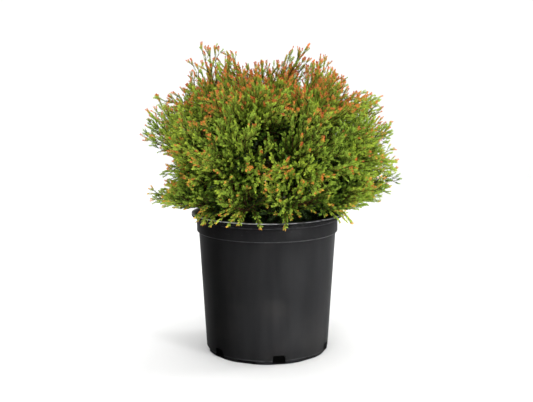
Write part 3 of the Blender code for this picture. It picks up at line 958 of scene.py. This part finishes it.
class Growth:
    """What one mass has grown so far: leafy pieces to lay out, and twigs."""

    def __init__(self, space, lift, rng):
        self.space = space
        self.lift = lift
        self.rng = rng
        self.pieces = []
        self.tubes = []
        self.cast = 0.5
        self.twig_cast = 0.5
        self.lit = False

    def body_tones(self, point):
        """Three tones for a shoot's leaves: painted shade by depth in the crown, then by its spray's own
        cast.
        """
        depth = 1.0 if self.lit else self.space.depth(point) + self.rng.gauss(0, 0.03)
        level = level_of(point)
        shaded = read_profile(SHADED_DEPTHS, level)
        # Painted shade: leaves deep in the crown take the darkest tones.
        if depth < shaded - 0.14:
            return (SHADE, SHADE, DEEP)
        if depth < shaded:
            return (DEEP, DEEP, MID)
        casts = UPPER_CASTS if level > 38 else LOWER_CASTS
        return casts[int(self.cast * len(casts))]

    def turns_warm(self, point, favour):
        """Whether a spray that ends at a point has taken its autumn tint."""
        level = level_of(point)
        share = max(0.0, min(1.0, (level - WARM_FROM) / (WARM_TO - WARM_FROM)))
        return self.rng.random() < between(WARM_SHARES, share**1.4) + favour

    def tip_tones(self, point, warm):
        """Three tones for a tuft: tinted by how much sun it gets, in painted shade deep in the crown, or
        green as its spray is.
        """
        rng = self.rng
        depth = 1.0 if self.lit else self.space.depth(point)
        level = level_of(point)
        if depth < WARM_DEPTH or not warm:
            # Painted shade: tufts deep in the crown take dark tones.
            if depth < read_profile(SHADED_DEPTHS, level) - 0.03:
                return (DEEP, DEEP, MID)
            return TIP_CASTS[int(self.cast * len(TIP_CASTS))]
        sun = level + rng.gauss(0, 13)
        if sun > 50:
            return (OLIVE, rng.choice((AMBER, ORANGE)), rng.choice((RUST, ORANGE, ORANGE, RED)))
        if sun > 26:
            return (OLIVE, rng.choice((AMBER, AMBER, OLIVE)), rng.choice((ORANGE, ORANGE, RUST)))
        if sun > 6:
            return (YELLOW, rng.choice((AMBER, OLIVE)), rng.choice((ORANGE, ORANGE, GOLD)))
        return (LEAF, YELLOW, rng.choice((GOLD, AMBER)))

    def run(self, kind, step, start, end, tones=None):
        """Lays sprigs of one kind end to end, in given tones or each in those of its place."""
        count = max(1, round((end - start).length / step))
        for i in range(count):
            a = start.lerp(end, i / count)
            b = start.lerp(end, (i + 1) / count)
            self.pieces.append((kind, a, b, tones or self.body_tones(b)))

    def shoot(self, start, way, length, warm):
        """A leafy shoot: a stem, sleeves of leaves along it and a tuft at its tip."""
        end = self.space.fit(start, way, length)
        if end is None:
            return
        tip = end - way * min(TIP_LENGTH, (end - start).length)
        if (tip - start).length > SLEEVE_LENGTH * 0.4:
            self.run("sleeve", SLEEVE_LENGTH, start, tip)
        self.pieces.append(("tuft", tip, end, self.tip_tones(end, warm)))
        self.tubes.append(([start, end - way * 0.003], SHOOT_RADIUS, YOUNG))

    def spray(self, start, way, ahead, flat, length, favour):
        """A flat frond that bends forward along its twig, with short shoots on each side by turns."""
        rng = self.rng
        self.cast = 0.55 * self.twig_cast + 0.45 * rng.random()
        turned = (ahead * 0.45 + way + UP * self.lift * 0.5).normalized()
        middle = start + ahead * length * SPRAY_BEND
        end = self.space.fit(middle, turned, length * (1 - SPRAY_BEND))
        if end is None or not self.space.holds(middle):
            return
        warm = self.turns_warm(end, favour)
        self.tubes.append(([start, middle, end - turned * 0.004], SPRAY_RADIUS, BROWN))
        self.run("sleeve", SLEEVE_LENGTH, start.lerp(middle, 0.15), middle)
        self.shoot(middle, turned, (end - middle).length, warm)
        rear = (middle - start).length
        leafy = rear + (end - middle).length - TIP_LENGTH * 0.6
        count = max(2, round(leafy / SHOOT_STEP))
        for i in range(count):
            share = (i + 0.5) / count
            run = share * leafy
            foot = start + ahead * run if run < rear else middle + turned * (run - rear)
            line = ahead if run < rear else turned
            turn = SHOOT_TURN * (1 if i % 2 else -1) + rng.gauss(0, 0.12)
            out = line * math.cos(turn) + flat * math.sin(turn) + line.cross(flat) * rng.gauss(0, 0.13)
            reach = between(SIDE_LENGTHS, share) * rng.uniform(0.75, 1.2)
            tinted = warm and rng.random() < 0.3 + 0.9 * share
            self.shoot(foot, (out + way * 0.15 + UP * self.lift * 0.25).normalized(), reach, tinted)

    def main_twig(self, start, tip, sprays=SPRAYS, size=1.0, favour=0.4):
        """A twig that leaves the stem and bends out to its tip, with sprays along its outer part."""
        rng = self.rng
        length = (tip - start).length
        away = (tip - start).normalized()
        sag = (self.space.axis - away * self.space.axis.dot(away)) * length * 0.22
        bend = start.lerp(tip, 0.5) + sag
        path = bent_path(start, bend, tip, TWIG_STEPS)
        self.tubes.append((path[:-1], TWIG_RADIUS, BROWN))
        self.twig_cast = rng.random()
        flat_turn = rng.uniform(0, math.pi)
        for i in range(sprays):
            share = SPRAY_SHARES[0] + (SPRAY_SHARES[1] - SPRAY_SHARES[0]) * (i + rng.random() * 0.5) / sprays
            index = min(int(share * TWIG_STEPS), TWIG_STEPS - 1)
            foot = path[index].lerp(path[index + 1], share * TWIG_STEPS - index)
            if self.space.depth(foot) < 0.42:
                continue
            way = (path[index + 1] - path[index]).normalized()
            flat = Matrix.Rotation(flat_turn, 3, way) @ way.orthogonal().normalized()
            roll = GOLDEN_ANGLE * i + rng.gauss(0, 0.3)
            out = Matrix.Rotation(roll, 3, way) @ flat
            ahead = (way * math.cos(SPRAY_TURN) + out * math.sin(SPRAY_TURN)).normalized()
            reach = between(SPRAY_LENGTHS, share)
            level = ahead.cross(UP if rng.random() < 0.4 else out).cross(ahead).normalized()
            nearer = favour * max(0.0, share - 0.6)
            self.spray(foot, way, ahead, level, reach * size * rng.uniform(0.8, 1.15), nearer)
        for i in range(INNER_PER_TWIG):
            self.inner_spray(path[i + 1], self.space.axis, rng.uniform(0, math.tau))
        last = (path[-1] - path[-2]).normalized()
        self.run("sleeve", SLEEVE_LENGTH, path[TWIG_STEPS // 2], path[-2])
        self.shoot(path[-2], last, (path[-1] - path[-2]).length, self.turns_warm(tip, favour))

    def hanging_twig(self, start, tip):
        """A slim twig that arches over the pot's lip and droops, with short shoots on each side by turns."""
        rng = self.rng
        length = (tip - start).length
        bend = start.lerp(tip, 0.62) + UP * length * 0.24
        path = bent_path(start, bend, tip, HANG_STEPS)
        self.tubes.append((path[:-1], HANGING_RADIUS, YOUNG))
        flat = (tip - start).cross(UP).normalized()
        for i in range(HANG_STEPS // 4, HANG_STEPS):
            way = (path[i + 1] - path[i]).normalized()
            share = i / HANG_STEPS
            self.lit = share > 0.45
            self.cast = rng.uniform(0.0, 0.7)
            self.run("sleeve", SLEEVE_LENGTH, path[i], path[i + 1])
            for side in (-1, 1):
                out = way * 0.9 + flat * side * rng.uniform(0.3, 0.6) + way.cross(flat) * rng.gauss(0, 0.15)
                reach = TIP_LENGTH * (0.58 + 0.75 * (1 - share) * rng.uniform(0.5, 1.0))
                foot = path[i].lerp(path[i + 1], 0.25 + 0.25 * side)
                self.shoot(foot, out.normalized(), reach, rng.random() < 0.5 * share)
        last = (path[-1] - path[-2]).normalized()
        self.shoot(path[-2], last, (path[-1] - path[-2]).length + TIP_LENGTH * 0.3, True)
        self.lit = False

    def inner_spray(self, start, way, turn):
        """An older, coarser spray in the crown's shade, leaning away from a stem or twig, its green leaves
        in painted shade.
        """
        rng = self.rng
        lean = Matrix.Rotation(rng.uniform(*INNER_TURNS), 3, way.orthogonal().normalized())
        ahead = Matrix.Rotation(turn, 3, way) @ (lean @ way)
        end = start + ahead * rng.uniform(*INNER_LENGTHS)
        if self.space.is_free(end) and self.space.depth(end) < INNER_DEPTH:
            dry = end.z > DRY_ABOVE and noise.noise(end * DRY_PATCHES) > 0.08
            # Painted shade: green inner sprays take the darkest tones; dry ones keep their own brown.
            tones = (OLD, OLD, SHADE) if dry else (SHADE, SHADE, DEEP)
            self.run("coarse", INNER_STEP, start.lerp(end, 0.2), end, tones)
            self.tubes.append(([start, end], OLD_RADIUS, BROWN))

    def inner_sprays(self):
        """Older sprays round the stem."""
        for i in range(INNER_SPRAYS):
            start = self.space.on_axis(self.rng.uniform(*INNER_SHARES))
            self.inner_spray(start, self.space.axis, GOLDEN_ANGLE * i)

    def low_sprays(self):
        """Sprays all in the painted shade tone that lie inside the pot's rim, close above the mix, filling
        the shade under the crown.
        """
        rng = self.rng
        azimuth = math.atan2(self.space.axis.y, self.space.axis.x)
        for _ in range(LOW_SPRAYS):
            turn = azimuth + rng.uniform(-1, 1) * LOW_TURN
            radius = rng.uniform(*LOW_RADII)
            end = Vector((radius * math.cos(turn), radius * math.sin(turn), rng.uniform(*LOW_HEIGHTS)))
            start = self.space.on_axis(rng.uniform(-0.45, 0.0))
            # Painted shade: every leaf here takes the darkest tone.
            self.run("coarse", INNER_STEP, start.lerp(end, 0.25), end, (SHADE, SHADE, SHADE))


def twig_ways(space, pitch, rng):
    """The ways of a mass's twig tips, spread evenly over its room by the golden angle."""
    side = space.axis.orthogonal().normalized()
    first = rng.uniform(0.0, math.tau)
    ways = []
    for i in range(int((WIDEST_TWIG / pitch) ** 2)):
        spread = pitch * math.sqrt(i + 0.35)
        turn = Matrix.Rotation(first + i * GOLDEN_ANGLE, 3, space.axis)
        way = turn @ (Matrix.Rotation(spread, 3, side) @ space.axis)
        if space.owns(way) and elevation_of(way) > LOWEST_LEVEL:
            ways.append(way)
    return ways


def rotations(ways, rolls):
    """Turns, one for each way, that carry +X onto it, with a roll about it."""
    up = np.tile((0.0, 0.0, 1.0), (len(ways), 1))
    up[np.abs(ways[:, 2]) > 0.9] = (1.0, 0.0, 0.0)
    side = np.cross(up, ways)
    side /= np.linalg.norm(side, axis=1, keepdims=True)
    top = np.cross(ways, side)
    y = side * np.cos(rolls)[:, None] + top * np.sin(rolls)[:, None]
    z = np.cross(ways, y)
    return np.stack((ways, y, z), axis=2)


def leaf_mesh(name, pieces, sprigs, rng):
    """Lays the sprigs out along every shoot and joins their leaves into one mesh."""
    all_verts, all_tones = [], []
    for kind, (shapes, nominal) in sprigs.items():
        chosen = [p for p in pieces if p[0] == kind]
        for variant, shape in enumerate(shapes):
            own = chosen[variant :: len(shapes)]
            if not own:
                continue
            starts = np.array([p[1] for p in own])
            runs = np.array([p[2] for p in own]) - starts
            lengths = np.linalg.norm(runs, axis=1, keepdims=True)
            turns = rotations(runs / lengths, rng.uniform(0, math.tau, len(own)))
            sizes = (lengths / nominal)[:, :, None, None]
            placed = np.einsum("nij,lcj->nlci", turns, shape) * sizes + starts[:, None, None, :]
            leaves = shape.shape[0]
            zone = np.minimum((np.arange(leaves) / leaves * 3.0).astype(int), 2)
            if kind != "tuft":
                zone = rng.integers(0, 3, leaves)
            tones = np.array([p[3] for p in own])[:, zone]
            all_verts.append(placed.reshape(-1, 3))
            all_tones.append(tones.reshape(-1))
    verts = np.concatenate(all_verts)
    tones = np.repeat(np.concatenate(all_tones), 2)
    corner = np.arange(0, len(verts), 4)[:, None]
    faces = np.concatenate((corner + (0, 1, 2), corner + (0, 2, 3)), axis=1).reshape(-1, 3)
    return mesh_from_arrays(name, verts, faces, tones)


def twig_mesh(name, tubes):
    """Three-sided tapering twigs along their paths, each closed at its foot and pointed, joined."""
    ring = np.array([(math.cos(a), math.sin(a)) for a in (0.0, math.tau / 3, 2 * math.tau / 3)])
    verts, faces, tones = [], [], []
    count = 0
    for points, thick, tone in tubes:
        line = np.array(points)
        rings = len(line) - 1
        ways = np.gradient(line, axis=0)
        ways /= np.linalg.norm(ways, axis=1, keepdims=True)
        across = rotations(ways, np.zeros(rings + 1))[:-1, :, 1:] @ ring.T
        radii = thick * (1 - 0.7 * np.arange(rings) / max(rings, 1))
        verts.append((line[:-1, None, :] + across.transpose(0, 2, 1) * radii[:, None, None]).reshape(-1, 3))
        verts.append(line[-1:])
        made = [(0, 2, 1)]
        for i in range(rings - 1):
            for k in range(3):
                a, b = 3 * i + k, 3 * i + (k + 1) % 3
                made += [(a, b, b + 3), (a, b + 3, a + 3)]
        low = 3 * (rings - 1)
        made += [(low + k, low + (k + 1) % 3, low + 3) for k in range(3)]
        faces.append(np.array(made) + count)
        tones += [tone] * len(made)
        count += 3 * rings + 1
    return mesh_from_arrays(name, np.concatenate(verts), np.concatenate(faces), np.array(tones))


def twig_tips(space, pitch, rng):
    """Where a mass's twigs end: shy of the crown's reach by chance, and never below its lower edge."""
    tips = []
    for way in twig_ways(space, pitch, rng):
        tip = HEART + way * space.reach(way) * rng.uniform(*SHY_OF_REACH)
        raised = rng.uniform(0.0, RAGGED)
        space.raised = raised
        while not space.is_free(tip - UP * 0.004):
            tip.z += 0.003
        tips.append((tip, raised))
    return tips


def leader_tips():
    """The shoots that stand out: both outlines, by turns before and behind, then in front and all round."""
    tips = []
    for azimuth, outline in ((180, LEFT_TIPS), (0, RIGHT_TIPS)):
        for i, (elevation, distance) in enumerate(outline):
            tip = way_of(azimuth, elevation) * (distance - TIP_SHY)
            tip.y = tip.x * TIP_ASIDE * (1 if i % 2 else -1)
            tips.append(HEART + tip)
    tips += [tip_at(*tip) for tip in FRONT_TIPS]
    rng = random.Random(SEED + 5)
    for i in range(LEADER_COUNT):
        elevation = between(LEADER_LEVELS, i * 0.618 % 1.0)
        reach = read_profile(REACH_PROFILE, elevation) + rng.uniform(-0.008, 0.003)
        tips.append(tip_at(math.degrees(GOLDEN_ANGLE) * i, elevation, reach))
    return tips


def own_points(axis, axes, points):
    """The points that lie nearest to one mass's axis."""
    return [point for point in points if max(axes, key=(point - HEART).dot) is axis]


def grow_mass(space, lift, pitch, leaders, hanging, rng):
    """All that one mass grows: stem, twigs, old sprays, then the shoots that stand out and that hang."""
    growth = Growth(space, lift, rng)
    growth.tubes.append(([space.on_axis(share) for share in (-0.02, 0.12, 0.3)], STEM_RADIUS, BROWN))
    for tip, raised in twig_tips(space, math.radians(pitch), rng):
        space.raised = raised
        growth.main_twig(space.on_axis(rng.uniform(*TWIG_SHARES)), tip)
    space.raised = 0.0
    growth.inner_sprays()
    if space.name.startswith("skirt"):
        growth.low_sprays()
    space.raised = -LOWER_LEADERS
    for tip in leaders:
        space.standing = (tip - HEART).length
        level = level_of(tip)
        sprays, size = PLUME_SPRAYS if level > PLUME_LEVEL else LEADER_SPRAYS
        favour = 0.4 if level < 18 else 0.8
        growth.main_twig(space.on_axis(rng.uniform(*TWIG_SHARES)), tip, sprays, size, favour)
    space.hanging = True
    for tip in hanging:
        growth.hanging_twig(space.on_axis(0.1), tip)
    return growth


def make_foliage(plan, leaf_materials, twig_materials):
    """Leaves and twigs of every mass, two joined pieces in the place of its one solid."""
    axes = [axis for _, axis, _, _, _ in plan]
    sprigs = make_sprigs()
    leaders = leader_tips()
    hanging = [tip_at(*tip) for tip in HANGING]
    for index, (name, axis, _, lift, pitch) in enumerate(plan):
        rng = random.Random(SEED + 10 * index)
        own_leaders = own_points(axis, axes, leaders)
        own_hanging = own_points(axis, axes, hanging)
        growth = grow_mass(Space(name, axis, axes), lift, pitch, own_leaders, own_hanging, rng)
        leaves = leaf_mesh(f"leaves_{name}", growth.pieces, sprigs, np.random.default_rng(SEED + index))
        add_piece(f"leaves_{name}", leaves, leaf_materials, [f"foliage_{name}"])
        twigs = twig_mesh(f"twigs_{name}", growth.tubes)
        add_piece(f"twigs_{name}", twigs, twig_materials, [f"foliage_{name}"])


def add_light(name, place, aim, size, power, spread=math.pi):
    data = bpy.data.lights.new(name, "AREA")
    data.spread = spread
    data.shape = "RECTANGLE"
    data.size, data.size_y = size
    data.energy = power
    light = bpy.data.objects.new(name, data)
    light.location = place
    light.rotation_euler = (Vector(aim) - Vector(place)).to_track_quat("-Z", "Y").to_euler()
    bpy.context.scene.collection.objects.link(light)


def make_studio():
    """A pale round floor that rises into a cove, a large soft light overhead and softer ones about."""
    flat, bend, height = 2.8, 1.2, 3.0
    profile = [(0.0, 0.0), (flat, 0.0)]
    for i in range(1, 13):
        turn = math.pi / 2 * i / 12
        profile.append((flat + bend * math.sin(turn), bend * (1 - math.cos(turn))))
    profile.append((flat + bend, height))
    bm = bmesh.new()
    spin_profile(bm, profile, 96)
    turned = [f for f in bm.faces if f.normal.z < -0.001 or f.normal.dot(f.calc_center_median()) > 0]
    bmesh.ops.reverse_faces(bm, faces=turned)
    mesh = mesh_from(bm, "floor")
    shade_smooth(mesh, 60)
    mesh.materials.append(make_plain("pale_floor", (0.88, 0.88, 0.88), 0.9, 0.0))
    floor = bpy.data.objects.new("floor", mesh)
    bpy.context.scene.collection.objects.link(floor)

    middle = (0.0, 0.0, 0.3)
    add_light("overhead", (0.0, -0.3, 2.9), (0.0, -0.3, 0.0), (3.0, 3.0), 72.0)
    add_light("backdrop", (0.0, 1.6, 2.8), (0.0, 3.4, 0.4), (3.0, 0.8), 40.0)
    add_light("key", (-0.7, -2.3, 2.2), middle, (1.0, 0.8), 22.0)
    add_light("right_panel", (1.6, 0.42, 0.56), middle, (0.5, 1.05), 16.0)
    add_light("front_fill", (1.5, -1.7, 0.8), middle, (0.9, 1.0), 20.0)
    add_light("pot_light", (0.94, -0.90, 0.11), (0.0, 0.0, 0.11), (0.40, 0.235), 2.3, math.radians(6))
    world = bpy.data.worlds.new("studio")
    world.use_nodes = True
    sky = world.node_tree.nodes["Background"]
    sky.inputs["Color"].default_value = (1.0, 1.0, 1.0, 1.0)
    sky.inputs["Strength"].default_value = 0.25
    bpy.context.scene.world = world
    bpy.context.scene.view_settings.view_transform = "Standard"


make_camera()
patches = make_patch_group()
grain = make_grain_group()
bark = make_bark(patches, grain)
make_pot(make_plastic(patches, grain))
chip_materials = [
    make_mottled("dark_chip", patches, grain, (0.014, 0.008, 0.005), (0.032, 0.019, 0.012), 420.0),
    make_mottled("red_chip", patches, grain, (0.048, 0.024, 0.013), (0.105, 0.060, 0.034), 380.0),
    make_mottled("perlite", patches, grain, (0.50, 0.47, 0.42), (0.70, 0.69, 0.65), 700.0),
]
make_potting_mix(make_mix_material(patches, grain))
make_chips(chip_materials)
plan = crown_plan()
make_limbs(plan, bark)
leaf_materials = [make_plain(f"leaf_{name}", srgb(code), 0.6, 0.15) for name, code in TONES]
twig_materials = [
    make_mottled("twig_brown", patches, grain, srgb("35220F"), srgb("5A3A20"), 160.0),
    make_mottled("young_stem", patches, grain, srgb("6F5A26"), srgb("99803A"), 120.0),
]
make_foliage(plan, leaf_materials, twig_materials)
make_studio()
